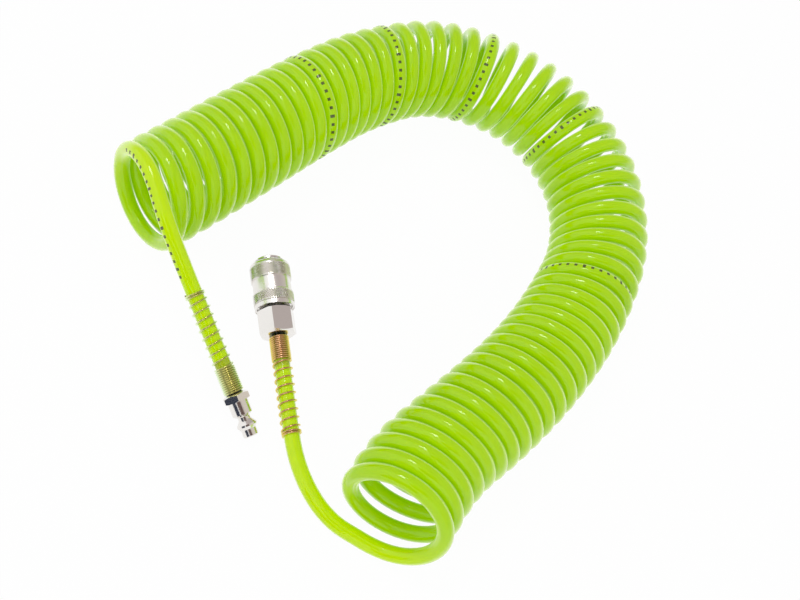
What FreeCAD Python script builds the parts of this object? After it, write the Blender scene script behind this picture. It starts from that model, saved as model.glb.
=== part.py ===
import FreeCAD, Part
import math
import os
from FreeCAD import Placement, Rotation, Vector

# Coiled air hose: one polyurethane tube wound in 59 turns and bent to a U, with a
# quick coupler on one tail and a plug on the other. Sizes are in millimetres.
# The hose lies on z = 0 and the origin is the middle of the space it covers.

# Hose
hose_od = 8.0
hose_bore = 5.5
turn_radius = 25.0
stand_flat = 0.5

# Turn n is on top of the coil where n is a whole number. These control points give
# the coil's axis every five turns: x, y, heading and backward lean in degrees.
first_station_turn = 0.5
station_spacing = 5.0
stations = [
    (-112, -89.5, 60, 4),
    (-105, -66, 67, 7),
    (-93, -19, 73, 0),
    (-82, 25, 67, 3),
    (-68, 70, 56, 4),
    (-39, 116, 31, 0),
    (18, 137, 2, 4),
    (73, 116, -31, 6),
    (103, 68, -56, 7),
    (107, 14, -81, 6),
    (102, -32, -89, 5),
    (90, -78, -98, 8),
    (74, -124, -86, 3),
    (76, -151, -90, -11),
]
coil_first_turn = 0.95
coil_last_turn = 60.5
section_turns = 10.0

# Lengths of the runs that guide the two tails, and the coupler tail's middle point
plug_tail_lead = 14.0
plug_tail_run = 62.0
coupler_tail_lead = 13.0
coupler_tail_run = 62.5
coupler_tail_bend = (39.5, -152.2, 4.1)

# Spring guards
wire = 0.95
guard_clearance = 0.1
guard_gap = 0.45
guard_start_gap = 0.7
guard_length = 51.5
close_turns = 9.0
open_turns = 8.5
end_turns = 1.5

# Barbed stems that hold the hose
barb_length = 16.0
barb_root = 2.6
barb_ridge = 2.95
barb_pitch = 2.6
barb_land = 2.0
barb_ridges = 5
barb_bore = 1.9
barb_tip_wall = 0.3
seat_depth = 1.5
seat_clearance = 0.3
stem_web = 1.5

# Plug
plug_hex_flats = 12.0
plug_hex_length = 3.9
plug_hex_rear_chamfer = 2.0
plug_hex_front_chamfer = 0.6
plug_hex_turn = -16.0
plug_shaft_radius = 4.9
plug_shaft_end = 10.5
plug_neck_radius = 3.0
plug_neck_start = 11.8
plug_neck_end = 13.1
plug_collar_start = 15.6
plug_collar_end = 16.5
plug_nose_radius = 3.7
plug_nose_start = 18.0
plug_length = 21.8
plug_nose_chamfer = 0.5
plug_bore = 2.0
plug_origin = (-17.4, -134.15, 11.2)
plug_heading = -28.4
plug_tilt = -20.4

# Rear adapter of the coupler
hex_flats = 17.0
hex_length = 13.3
hex_rear_chamfer = 2.0
hex_front_chamfer = 1.0
hex_chamfer_slope = 0.55
hex_turn = 6.0
adapter_bore = 3.0
spigot_radius = 5.95
spring_pocket_radius = 4.6
spring_pocket_depth = 2.5
gasket_thickness = 0.6
gasket_inner = 6.1
gasket_outer = 8.4

# Coupler body; a setback is measured from its front end
thread_clearance = 0.05
body_radius = 7.85
body_length = 28.6
flange_radius = 9.1
flange_offset = 2.1
flange_length = 1.1
nose_radius = 7.2
mouth_radius = 5.0
mouth_depth = 13.6
lead_in_radius = 5.2
lead_in_depth = 5.0
mouth_chamfer = 0.6
throat_radius = 4.0
seal_groove_radius = 5.6
seal_groove_setback = 14.3
seal_groove_width = 2.0
seal_bevel = 0.5
throat_length = 1.3
coupler_origin = (-17.6, -93.7, 9.2)
coupler_heading = 131.0
coupler_tilt = 4.5

# Retaining ring
ring_setback = 2.2
ring_thickness = 0.8
ring_inner = 6.75
ring_outer = 8.45
ring_slit = 1.5
ring_clearance = 0.05

# Locking balls
ball_count = 6
ball_radius = 2.0
ball_setback = 8.4
ball_rest_radius = 6.1
ball_clearance = 0.05
ball_lip_radius = 1.75

# Locking sleeve
sleeve_clearance = 0.086
sleeve_travel = 1.3
sleeve_stop_gap = 0.2
lip_radius = 10.2
lip_chamfer = 0.4
band_radius = 10.5
waist_radius = 9.8
front_radius = 9.2
lip_length = 2.0
rear_band_length = 5.9
waist_length = 7.4
front_band_length = 7.6
cone_length = 1.95
skirt_clearance = 0.1
skirt_depth = 7.8
ramp_lead = 0.9
ramp_slope = 0.69
pocket_radius = 9.05
front_land = 1.25
front_recess_radius = 8.6

# Poppet valve
poppet_travel = 4.0
poppet_stop_gap = 0.4
poppet_head_radius = 5.4
poppet_guide_radius = 5.92
poppet_head_thickness = 1.6
poppet_tube_radius = 3.4
poppet_tube_bore = 2.4
poppet_tube_length = 3.2
poppet_slot_width = 1.6
valve_seal_thickness = 0.55
valve_seal_outer = 5.2
seal_clearance = 0.05

# Hidden springs, as sleeves of the space that they fill
spring_wall = 0.6
spring_clearance = 0.05
valve_spring_clearance = 0.1
sleeve_spring_clearance = 0.15

up = Vector(0, 0, 1)


def blend(values, turn):
    """Value at a turn on the smooth curve that the stations' numbers control."""
    spans = len(values) - 2
    place = (turn - first_station_turn) / station_spacing
    span = min(max(int(place), 0), spans - 1)
    share = place - span
    start = values[0] if span == 0 else (values[span] + values[span + 1]) / 2
    bend = values[span + 1]
    end = values[-1] if span == spans - 1 else (values[span + 1] + values[span + 2]) / 2
    return (1 - share) ** 2 * start + 2 * share * (1 - share) * bend + share ** 2 * end


def coil_point(turn):
    """Point on the hose's centre line, by turns from the plug's end."""
    x, y, heading, lean = (blend(column, turn) for column in zip(*stations))
    heading = math.radians(heading)
    lean = math.radians(lean)
    along = Vector(math.cos(heading), math.sin(heading), 0)
    outward = Vector(math.sin(heading), -math.cos(heading), 0)
    top = up * math.cos(lean) + along * math.sin(lean)
    height = hose_od / 2 - stand_flat + turn_radius * math.cos(lean)
    angle = 2 * math.pi * turn
    away = top * math.cos(angle) - outward * math.sin(angle)
    return Vector(x, y, height) + away * turn_radius


def direction(curve, turn, step=0.001):
    """Unit tangent of a curve given by turns."""
    return (curve(turn + step) - curve(turn - step)).normalize()


def arc_edge(start, tangent, end):
    """Arc from start to end that leaves start along the tangent."""
    chord = end - start
    across = tangent - chord * (tangent.dot(chord) / chord.dot(chord))
    if across.Length < 1e-6:
        return Part.LineSegment(start, end).toShape()
    half_angle = tangent.getAngle(chord) / 2
    rise = chord.Length / 2 * math.tan(half_angle)
    middle = start + chord / 2 + across.normalize() * rise
    return Part.Arc(start, middle, end).toShape()


def biarc(start, tangent, end, end_tangent):
    """Two arcs that meet smoothly between two points with their tangents."""
    chord = end - start
    both = tangent + end_tangent
    spread = 2 * (1 - tangent.dot(end_tangent))
    reach = chord.dot(both)
    if spread < 1e-9:
        arm = chord.dot(chord) / (2 * reach)
    else:
        arm = (math.sqrt(reach ** 2 + spread * chord.dot(chord)) - reach) / spread
    meeting = (start + end + (tangent - end_tangent) * arm) / 2
    first_arc = arc_edge(start, tangent, meeting)
    middle_tangent = first_arc.tangentAt(first_arc.LastParameter)
    return [first_arc, arc_edge(meeting, middle_tangent, end)]


def wound_wire(curve, first, last, lead_in, lead_out, steps_per_turn=4):
    """Path of a wound tube: biarcs along the curve, and a straight run at an end that has one."""
    count = round((last - first) * steps_per_turn)
    turns = [first + (last - first) * step / count for step in range(count + 1)]
    points = [curve(turn) for turn in turns]
    tangents = [direction(curve, turn) for turn in turns]
    edges = []
    if lead_in:
        edges.append(Part.LineSegment(points[0] - tangents[0] * lead_in, points[0]).toShape())
    for step in range(count):
        edges += biarc(points[step], tangents[step], points[step + 1], tangents[step + 1])
    if lead_out:
        edges.append(Part.LineSegment(points[-1], points[-1] + tangents[-1] * lead_out).toShape())
    return Part.Wire(edges)


def corner_radii(points):
    """Radius of the tangent arc at each corner of a route."""
    radii = []
    for before, corner, after in zip(points, points[1:], points[2:]):
        into = corner - before
        out = after - corner
        radii.append(0.45 * min(into.Length, out.Length) / math.tan(into.getAngle(out) / 2))
    return radii


def cord_wire(points):
    """Straight runs joined by tangent arcs."""
    edges = []
    place = points[0]
    for before, corner, after in zip(points, points[1:], points[2:]):
        into = corner - before
        out = after - corner
        trim = 0.45 * min(into.Length, out.Length)
        arc_start = corner - into.normalize() * trim
        arc_end = corner + out.normalize() * trim
        edges.append(Part.LineSegment(place, arc_start).toShape())
        edges.append(arc_edge(arc_start, into, arc_end))
        place = arc_end
    edges.append(Part.LineSegment(place, points[-1]).toShape())
    return Part.Wire(edges)


def round_section(path, radius):
    """Circle at the start of a path, square to it."""
    first = path.OrderedEdges[0]
    start = first.valueAt(first.FirstParameter)
    return Part.Wire(Part.Circle(start, first.tangentAt(first.FirstParameter), radius).toShape())


def solid_tube(path, radius):
    """Solid round tube along a path."""
    return path.makePipeShell([round_section(path, radius)], True, False)


def hose_tube(path):
    """Hose with its bore along a path, cut flat where it stands."""
    tube = solid_tube(path, hose_od / 2).cut(solid_tube(path, hose_bore / 2))
    return cut_flat(tube)


def cut_flat(shape):
    """Take off what is below the surface that the hose lies on."""
    box = shape.BoundBox
    if box.ZMin >= 0:
        return shape
    below = Part.makeBox(box.XLength + 2, box.YLength + 2, 1 - box.ZMin,
                         Vector(box.XMin - 1, box.YMin - 1, box.ZMin - 1))
    return shape.cut(below)


def turned(outline):
    """Solid turned round the local Z axis from points of radius and height."""
    points = [Vector(radius, 0, height) for radius, height in outline]
    return Part.Face(Part.makePolygon(points + points[:1])).revolve(Vector(), up, 360)


def collar(inner, outer, bottom, top):
    """Plain ring round the local Z axis."""
    return turned([(inner, bottom), (outer, bottom), (outer, top), (inner, top)])


def rod(radius, bottom, top):
    """Plain cylinder on the local Z axis."""
    return Part.makeCylinder(radius, top - bottom, Vector(0, 0, bottom))


def hexagon(flats, length, rear_chamfer, front_chamfer, turn):
    """Hexagon bar with its corners turned off at both ends, one flat facing local X plus a turn."""
    corner = flats / math.sqrt(3)
    points = []
    for side in range(7):
        angle = math.radians(30 + 60 * side + turn)
        points.append(Vector(corner * math.cos(angle), corner * math.sin(angle), 0))
    bar = Part.Face(Part.makePolygon(points)).extrude(Vector(0, 0, length))
    round_off = turned([
        (0, 0),
        (corner - rear_chamfer, 0),
        (corner, rear_chamfer * hex_chamfer_slope),
        (corner, length - front_chamfer * hex_chamfer_slope),
        (corner - front_chamfer, length),
        (0, length),
    ])
    return bar.common(round_off)


def frame_on(origin, heading, tilt):
    """Placement whose local Z points along the axis and local X points up."""
    heading = math.radians(heading)
    tilt = math.radians(tilt)
    flat = Vector(math.cos(heading), math.sin(heading), 0)
    axis = flat * math.cos(tilt) + up * math.sin(tilt)
    upward = up * math.cos(tilt) - flat * math.sin(tilt)
    return Placement(Vector(*origin), Rotation(upward, axis.cross(upward), axis, "ZXY"))


coupler = frame_on(coupler_origin, coupler_heading, coupler_tilt)
plug = frame_on(plug_origin, plug_heading, plug_tilt)


def local_point(frame, height, radius=0.0, angle=0.0):
    """World point from a height along the fitting's axis and a place round it."""
    angle = math.radians(angle)
    return frame.multVec(Vector(radius * math.cos(angle), radius * math.sin(angle), height))


def local_axis(frame, x=0.0, y=0.0, z=1.0):
    """World direction of a local one."""
    return frame.Rotation.multVec(Vector(x, y, z))


def barbed_stem():
    """Outline points of the stem, from its root at the seat to its tip."""
    points = [(barb_root, seat_depth)]
    for ridge in range(barb_ridges):
        height = -barb_land - ridge * barb_pitch
        points.append((barb_root, height))
        points.append((barb_ridge, height))
    points.append((barb_bore + barb_tip_wall, -barb_length))
    return points


guard_radius = hose_od / 2 + guard_clearance + wire / 2
seat_radius = hose_od / 2 + seat_clearance


def guard_height(turn):
    """Height of the guard's wire behind the hexagon, close wound at both ends."""
    close_pitch = wire + guard_gap
    open_pitch = (guard_length - wire - close_pitch * (close_turns + end_turns)) / open_turns
    opened = min(max(turn - close_turns, 0), open_turns)
    return -guard_start_gap - wire / 2 - close_pitch * (turn - opened) - open_pitch * opened


def guard_point(turn):
    """Point on the guard's wire in the fitting's own frame."""
    angle = 2 * math.pi * turn
    return Vector(guard_radius * math.cos(angle), guard_radius * math.sin(angle), guard_height(turn))


def least_gap(curve, first, last, thickness, samples=48):
    """Smallest clear distance between neighbouring turns of a wound tube."""
    count = round((last - first) * samples)
    points = [curve(first + (last - first) * step / count) for step in range(count + 1)]
    least = math.inf
    for step in range(0, count - samples, 2):
        for other in range(step + samples * 2 // 3, min(step + samples * 4 // 3, count) + 1):
            least = min(least, points[step].distanceToPoint(points[other]))
    return least - thickness


def make_guard():
    """Spring guard, wound round the hose's tail in the fitting's own frame."""
    turns = close_turns + open_turns + end_turns
    return solid_tube(wound_wire(guard_point, 0, turns, wire, wire, 2), wire / 2)


def make_plug():
    """Barbed plug with its hexagon, locking neck and sealing nose."""
    stem = turned([(0, seat_depth)] + barbed_stem() + [(0, -barb_length)])
    seat = collar(barb_root, seat_radius, 0, seat_depth)
    front = turned([
        (0, plug_hex_length),
        (plug_shaft_radius, plug_hex_length),
        (plug_shaft_radius, plug_shaft_end),
        (plug_neck_radius, plug_neck_start),
        (plug_neck_radius, plug_neck_end),
        (plug_shaft_radius, plug_collar_start),
        (plug_shaft_radius, plug_collar_end),
        (plug_nose_radius, plug_nose_start),
        (plug_nose_radius, plug_length - plug_nose_chamfer),
        (plug_nose_radius - plug_nose_chamfer, plug_length),
        (0, plug_length),
    ])
    hexagonal = hexagon(plug_hex_flats, plug_hex_length, plug_hex_rear_chamfer,
                        plug_hex_front_chamfer, plug_hex_turn).cut(seat)
    bore = rod(barb_bore, -barb_length, 0).fuse(rod(plug_bore, 0, plug_length))
    return stem.fuse([hexagonal, front]).cut(bore).removeSplitter()


# Heights along the coupler's axis, from the rear face of its hexagon
body_rear = hex_length + gasket_thickness
body_front = body_rear + body_length
flange_start = body_rear + flange_offset
flange_end = flange_start + flange_length
seal_groove_front = body_front - seal_groove_setback
seal_groove_rear = seal_groove_front - seal_groove_width
valve_seat = seal_groove_rear - throat_length
ball_station = body_front - ball_setback
ring_front = body_front - ring_setback
ring_rear = ring_front - ring_thickness
pocket_lip = ring_rear - ring_clearance
chamber_radius = spigot_radius + thread_clearance
sleeve_rear = hex_length + sleeve_travel + sleeve_stop_gap
rear_band_start = sleeve_rear + lip_length
rear_band_end = rear_band_start + rear_band_length
front_band_start = rear_band_end + waist_length
front_band_end = front_band_start + front_band_length
sleeve_front = front_band_end + cone_length
spring_shoulder = sleeve_rear + skirt_depth
pocket_end = pocket_lip - front_land
poppet_front = valve_seat - seal_clearance - valve_seal_thickness
poppet_rear = poppet_front - poppet_head_thickness
spigot_end = poppet_rear - poppet_travel - poppet_stop_gap


def make_adapter():
    """Rear of the coupler: barbed stem, hexagon and front spigot."""
    stem = turned([(0, seat_depth)] + barbed_stem() + [(0, -barb_length)])
    seat = collar(barb_root, seat_radius, 0, seat_depth)
    hexagonal = hexagon(hex_flats, hex_length, hex_rear_chamfer, hex_front_chamfer, hex_turn).cut(seat)
    spigot = rod(spigot_radius, hex_length, spigot_end)
    bore = rod(barb_bore, -barb_length, seat_depth + stem_web)
    bore = bore.fuse(rod(adapter_bore, seat_depth + stem_web, spigot_end))
    bore = bore.fuse(rod(spring_pocket_radius, spigot_end - spring_pocket_depth, spigot_end))
    return stem.fuse([hexagonal, spigot]).cut(bore).removeSplitter()


def make_body():
    """Coupler body with its mouth, seal groove, valve seat and ball holes."""
    outside = turned([
        (0, body_rear),
        (body_radius, body_rear),
        (body_radius, flange_start),
        (flange_radius, flange_start),
        (flange_radius, flange_end),
        (body_radius, flange_end),
        (body_radius, pocket_lip),
        (ring_inner - ring_clearance, pocket_lip),
        (ring_inner - ring_clearance, ring_front + ring_clearance),
        (nose_radius, ring_front + ring_clearance),
        (nose_radius, body_front - mouth_chamfer),
        (nose_radius - mouth_chamfer, body_front),
        (0, body_front),
    ])
    inside = turned([
        (0, body_rear),
        (chamber_radius, body_rear),
        (chamber_radius, valve_seat),
        (throat_radius, valve_seat),
        (throat_radius, seal_groove_rear),
        (seal_groove_radius, seal_groove_rear),
        (seal_groove_radius, seal_groove_front),
        (throat_radius, seal_groove_front),
        (throat_radius, body_front - mouth_depth),
        (mouth_radius, body_front - mouth_depth),
        (mouth_radius, body_front - lead_in_depth),
        (lead_in_radius, body_front - lead_in_depth),
        (lead_in_radius, body_front - mouth_chamfer),
        (lead_in_radius + mouth_chamfer, body_front),
        (0, body_front),
    ])
    return outside.cut(inside).cut(ball_holes().Solids)


def ball_holes():
    """Holes of the locking balls, each with a lip that keeps its ball from falling in."""
    bore = ball_radius + ball_clearance
    lip_height = ball_rest_radius - math.sqrt(bore ** 2 - ball_lip_radius ** 2)
    low = Vector(ball_lip_radius, 0, lip_height)
    wide = Vector(bore, 0, ball_rest_radius)
    seat_angle = (math.pi / 2 - math.asin(ball_lip_radius / bore)) / 2
    middle = Vector(bore * math.cos(seat_angle), 0, ball_rest_radius - bore * math.sin(seat_angle))
    outer = Vector(bore, 0, 2 * body_radius)
    top = Vector(0, 0, 2 * body_radius)
    edges = [
        Part.LineSegment(Vector(), Vector(ball_lip_radius, 0, 0)).toShape(),
        Part.LineSegment(Vector(ball_lip_radius, 0, 0), low).toShape(),
        Part.Arc(low, middle, wide).toShape(),
        Part.LineSegment(wide, outer).toShape(),
        Part.LineSegment(outer, top).toShape(),
        Part.LineSegment(top, Vector()).toShape(),
    ]
    hole = Part.Face(Part.Wire(edges)).revolve(Vector(), up, 360)
    holes = []
    for index in range(ball_count):
        aim = Rotation(up, local_vector(1, index))
        holes.append(hole.transformed(Placement(Vector(0, 0, ball_station), aim).toMatrix()))
    return Part.makeCompound(holes)


def make_ball(index):
    """One locking ball at rest in its hole."""
    return Part.makeSphere(ball_radius, local_vector(ball_rest_radius, index) + Vector(0, 0, ball_station))


def local_vector(radius, index):
    """Offset of a ball from the coupler's axis."""
    angle = 2 * math.pi * index / ball_count
    return Vector(radius * math.cos(angle), radius * math.sin(angle), 0)


def make_sleeve():
    """Locking sleeve: grip bands outside, skirt, ramp and release pocket inside."""
    land = body_radius + sleeve_clearance
    ramp_start = ball_station - ramp_lead
    ramp_end = ramp_start + (pocket_radius - land) / ramp_slope
    skirt = flange_radius + skirt_clearance
    return turned([
        (skirt, sleeve_rear),
        (lip_radius - lip_chamfer, sleeve_rear),
        (lip_radius, sleeve_rear + lip_chamfer),
        (lip_radius, rear_band_start),
        (band_radius, rear_band_start),
        (band_radius, rear_band_end),
        (waist_radius, rear_band_end),
        (waist_radius, front_band_start),
        (band_radius, front_band_start),
        (band_radius, front_band_end),
        (front_radius, sleeve_front),
        (front_recess_radius, sleeve_front),
        (front_recess_radius, pocket_lip),
        (land, pocket_lip),
        (land, pocket_end),
        (pocket_radius, pocket_end),
        (pocket_radius, ramp_end),
        (land, ramp_start),
        (land, spring_shoulder),
        (skirt, spring_shoulder),
    ])


def make_ring():
    """Split ring that stops the sleeve on the body's nose."""
    slit = Part.makeBox(ring_outer, ring_slit, ring_thickness, Vector(0, -ring_slit / 2, ring_rear))
    return collar(ring_inner, ring_outer, ring_rear, ring_front).cut(slit)


def make_poppet():
    """Valve poppet: a head with three guides and a slotted tube that the plug pushes."""
    tube_end = poppet_front + poppet_tube_length
    poppet = rod(poppet_head_radius, poppet_rear, poppet_front)
    poppet = poppet.fuse(rod(poppet_tube_radius, poppet_front, tube_end))
    guide = rod(poppet_guide_radius, poppet_rear, poppet_front)
    slots = []
    for index in range(3):
        turn = Rotation(up, 120 * index)
        rib = Part.makeBox(poppet_guide_radius + 1, poppet_slot_width, poppet_head_thickness,
                           Vector(0, -poppet_slot_width / 2, poppet_rear))
        rib.Placement = Placement(Vector(), turn)
        poppet = poppet.fuse(guide.common(rib))
        slot = Part.makeBox(poppet_head_radius, poppet_slot_width, poppet_tube_length,
                            Vector(0, -poppet_slot_width / 2, poppet_front + valve_seal_thickness))
        slot.Placement = Placement(Vector(), turn)
        slots.append(slot)
    bore = rod(poppet_tube_bore, poppet_front, tube_end)
    return poppet.cut([bore] + slots).removeSplitter()


def make_plug_seal():
    """Lip seal in the body's groove that closes on the plug's nose."""
    inner = plug_nose_radius - 2 * seal_clearance
    outer = seal_groove_radius - seal_clearance
    rear = seal_groove_rear + seal_clearance
    front = seal_groove_front - seal_clearance
    return turned([
        (outer, rear),
        (outer, front),
        (inner + seal_bevel, front),
        (inner, front - seal_bevel),
        (inner, rear + seal_bevel),
        (inner + seal_bevel, rear),
    ])


def hose_ends():
    """The straight ends of the wound part, where the two tails begin."""
    first = coil_point(coil_first_turn) - direction(coil_point, coil_first_turn) * hose_od
    last = coil_point(coil_last_turn) + direction(coil_point, coil_last_turn) * hose_od
    return first, last


first_end, last_end = hose_ends()
plug_axis = local_axis(plug)
coupler_axis = local_axis(coupler)

# Routes of the two tails, from the coil to the seat in each fitting
plug_route = [
    first_end,
    first_end - direction(coil_point, coil_first_turn) * plug_tail_lead,
    local_point(plug, -plug_tail_run),
    local_point(plug, seat_depth),
]
coupler_route = [
    last_end,
    last_end + direction(coil_point, coil_last_turn) * coupler_tail_lead,
    Vector(*coupler_tail_bend),
    local_point(coupler, -coupler_tail_run),
    local_point(coupler, seat_depth),
]


def coil_wires():
    """Paths of the coil's sections, which meet face to face on top of a turn."""
    sections = math.ceil((coil_last_turn - coil_first_turn) / section_turns)
    wires = []
    for section in range(sections):
        first = coil_first_turn + section * section_turns
        last = min(first + section_turns, coil_last_turn)
        lead_in = hose_od if section == 0 else 0
        lead_out = hose_od if section == sections - 1 else 0
        wires.append(wound_wire(coil_point, first, last, lead_in, lead_out))
    return wires


hose_paths = {f"hose_coil_{number}": path for number, path in enumerate(coil_wires(), 1)}
hose_paths["hose_tail_plug"] = cord_wire(plug_route)
hose_paths["hose_tail_coupler"] = cord_wire(coupler_route)

nodes = {name: hose_tube(path) for name, path in hose_paths.items()}
plug_pieces = {
    "spring_guard_plug": make_guard(),
    "plug_nipple": make_plug(),
}
coupler_pieces = {
    "spring_guard_coupler": make_guard(),
    "rear_adapter": make_adapter(),
    "body_gasket": collar(gasket_inner, gasket_outer, hex_length, body_rear),
    "coupler_body": make_body(),
    "plug_seal": make_plug_seal(),
    "valve_poppet": make_poppet(),
    "valve_seal": collar(poppet_tube_radius + seal_clearance, valve_seal_outer,
                         poppet_front, poppet_front + valve_seal_thickness),
    "valve_spring": collar(spring_pocket_radius - valve_spring_clearance - spring_wall,
                           spring_pocket_radius - valve_spring_clearance,
                           spigot_end - spring_pocket_depth, poppet_rear - spring_clearance),
    "locking_sleeve": make_sleeve(),
    "sleeve_spring": collar(body_radius + sleeve_spring_clearance,
                            flange_radius - sleeve_spring_clearance,
                            flange_end, spring_shoulder - spring_clearance),
    "retaining_ring": make_ring(),
}
for number in range(ball_count):
    coupler_pieces[f"locking_ball_{number + 1}"] = make_ball(number)

for frame, pieces in ((plug, plug_pieces), (coupler, coupler_pieces)):
    for name, piece in pieces.items():
        nodes[name] = piece.transformed(frame.toMatrix())

os.makedirs("parts", exist_ok=True)
for name, shape in nodes.items():
    shape.exportStep(f"parts/{name}.step")


def rounded(vector):
    """Vector as a short list for the printed report."""
    return [round(value, 4) for value in vector]


def report():
    """Print what the record and the report need: lengths, gaps, radii and places."""
    guard_turns = close_turns + open_turns + end_turns
    print("least gap of the coil", round(least_gap(coil_point, coil_first_turn, coil_last_turn, hose_od), 3))
    print("least gap of the guards", round(least_gap(guard_point, 0, guard_turns, wire), 3))
    section = math.pi * (hose_od ** 2 - hose_bore ** 2) / 4
    for name, path in hose_paths.items():
        flats = [face for face in nodes[name].Faces if abs(face.CenterOfMass.z) < 0.01]
        print(name, "length", round(path.Length, 1), "volume", round(nodes[name].Volume),
              "section times length", round(section * path.Length), "flats", len(flats))
    print("plug tail radii", [round(radius, 1) for radius in corner_radii(plug_route)])
    print("coupler tail radii", [round(radius, 1) for radius in corner_radii(coupler_route)])
    print("plug route", [rounded(point) for point in plug_route])
    print("coupler route", [rounded(point) for point in coupler_route])
    print("coupler axis", rounded(coupler_axis), "mouth", rounded(local_point(coupler, body_front)))
    print("plug axis", rounded(plug_axis), "tip", rounded(local_point(plug, plug_length)))
    for index in range(ball_count):
        out = local_vector(1, index)
        print("ball", index + 1, "axis", rounded(local_axis(coupler, out.x, out.y, 0)))
    for name, shape in nodes.items():
        box = shape.BoundBox
        print(name, "solids", len(shape.Solids), "valid", shape.isValid(),
              [round(value, 1) for value in (box.XMin, box.YMin, box.ZMin, box.XMax, box.YMax, box.ZMax)])


report()
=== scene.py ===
import math

import bpy
from mathutils import Matrix, Vector


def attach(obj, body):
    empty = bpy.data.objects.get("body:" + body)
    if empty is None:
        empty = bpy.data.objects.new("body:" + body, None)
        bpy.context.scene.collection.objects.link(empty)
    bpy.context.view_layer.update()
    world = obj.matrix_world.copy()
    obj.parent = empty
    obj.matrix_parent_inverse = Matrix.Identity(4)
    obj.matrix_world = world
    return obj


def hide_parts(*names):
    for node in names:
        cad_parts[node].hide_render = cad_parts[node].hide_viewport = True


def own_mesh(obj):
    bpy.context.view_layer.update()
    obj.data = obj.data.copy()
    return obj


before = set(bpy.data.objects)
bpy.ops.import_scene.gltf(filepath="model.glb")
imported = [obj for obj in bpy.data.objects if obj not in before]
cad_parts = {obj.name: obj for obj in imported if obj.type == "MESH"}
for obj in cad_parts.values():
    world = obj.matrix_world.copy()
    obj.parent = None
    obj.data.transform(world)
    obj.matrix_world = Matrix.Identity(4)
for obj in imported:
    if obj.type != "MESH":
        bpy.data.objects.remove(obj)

bl_info = {
    "name": "Coiled air hose",
    "version": (1, 0, 0),
    "blender": (4, 5, 0),
    "location": "3D Viewport > Sidebar > Air hose",
    "description": "Dresses the coiled air hose, its spring guards and its couplings",
    "category": "Add Mesh",
}

# Control points of the coil's axis every five turns: x and y in metres, heading and lean in degrees
COIL_STATIONS = [
    (-0.112, -0.0895, 60, 4),
    (-0.105, -0.066, 67, 7),
    (-0.093, -0.019, 73, 0),
    (-0.082, 0.025, 67, 3),
    (-0.068, 0.070, 56, 4),
    (-0.039, 0.116, 31, 0),
    (0.018, 0.137, 2, 4),
    (0.073, 0.116, -31, 6),
    (0.103, 0.068, -56, 7),
    (0.107, 0.014, -81, 6),
    (0.102, -0.032, -89, 5),
    (0.090, -0.078, -98, 8),
    (0.074, -0.124, -86, 3),
    (0.076, -0.151, -90, -11),
]
FIRST_STATION_TURN = 0.5
STATION_SPACING = 5.0
COIL_FIRST_TURN = 0.95
COIL_LAST_TURN = 60.5

# Control points of the tails between the coil and each fitting, in metres
PLUG_TAIL = [
    (-0.01616, -0.13482, 0.01068),
    (-0.04659, -0.11837, 0.02354),
    (-0.05698, -0.11275, 0.02793),
    (-0.06852, -0.10651, 0.03281),
    (-0.08572, -0.09911, 0.04547),
    (-0.09677, -0.09163, 0.04971),
]
COUPLER_TAIL = [
    (0.06803, -0.15644, 0.00350),
    (0.05507, -0.15754, 0.00350),
    (0.03950, -0.15220, 0.00410),
    (0.02328, -0.14072, 0.00430),
    (0.01026, -0.12576, 0.00586),
    (-0.01858, -0.09257, 0.00932),
]
HOSE_LENGTH = 9.60

# Rounds of refinement that bring a tail's points to their smooth spline
ROUTE_ROUNDS = 4

# Sides of the hose, as shares of the way round it from the seam of its texture
INNER_SIDE = 0.61
OUTER_SIDE = 0.77

# Start and end of each row of scale marks, in metres along the hose from the plug, and its side
MARK_ROWS = [
    (0.056, 0.132, INNER_SIDE),
    (1.925, 2.075, OUTER_SIDE),
    (2.865, 3.015, OUTER_SIDE),
    (3.805, 3.955, OUTER_SIDE),
    (4.755, 4.905, OUTER_SIDE),
    (6.475, 6.625, OUTER_SIDE),
]
MARKS_PER_GROUP = 5

# How far a mark reaches to either side of its row's line, as a share of the way round
SHORT_MARK = 0.036
LONG_MARK = 0.052

# A millimetre in metres
MM = 0.001

# Heights along the coupler's axis, in millimetres from the rear face of its hexagon
REAR_BAND = (16.8, 22.7)
FRONT_BAND = (30.1, 37.7)

# Radii of the locking sleeve, in millimetres
BAND_RADIUS = 10.5
BAND_RIM_RADIUS = 10.4
WAIST_RADIUS = 9.8
SPRING_ROOM_RADIUS = 9.2
BORE_RADIUS = 7.936

# Outline of the locking sleeve in four runs of radius and height: back, waist, front and bore
SLEEVE_BACK = [
    (SPRING_ROOM_RADIUS, 14.8),
    (9.9, 14.8),
    (9.95, 14.45),
    (10.1, 14.4),
    (10.2, 14.55),
    (10.2, 16.6),
    (9.95, REAR_BAND[0]),
]
SLEEVE_WAIST = [(WAIST_RADIUS, REAR_BAND[1]), (WAIST_RADIUS, FRONT_BAND[0])]
SLEEVE_FRONT = [
    (10.0, 38.85),
    (9.2, 39.65),
    (8.6, 39.65),
    (8.6, 39.45),
    (BORE_RADIUS, 39.45),
]
SLEEVE_BORE = [
    (BORE_RADIUS, 38.2),
    (9.05, 38.2),
    (9.05, 34.814),
    (BORE_RADIUS, 33.2),
    (BORE_RADIUS, 22.6),
    (SPRING_ROOM_RADIUS, 22.6),
]

# Distance within which two points of a mesh count as one, in metres
MERGE_DISTANCE = 1e-6

# Control points in each turn of a spring
WIRE_POINTS_PER_TURN = 12

# Pitch of a guard's turns that lie side by side, in wire thicknesses
CLOSE_PITCH = 1.09

# Hidden springs: radius of the turns, wire, rear end and front end in millimetres, and number of turns
SLEEVE_SPRING = (8.5, 0.7, 17.1, 22.55, 4.0)
VALVE_SPRING = (4.2, 0.55, 15.8, 22.65, 5.5)

# Turns of a hidden spring that lie flat at either end
FLAT_TURNS = 0.75

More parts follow.
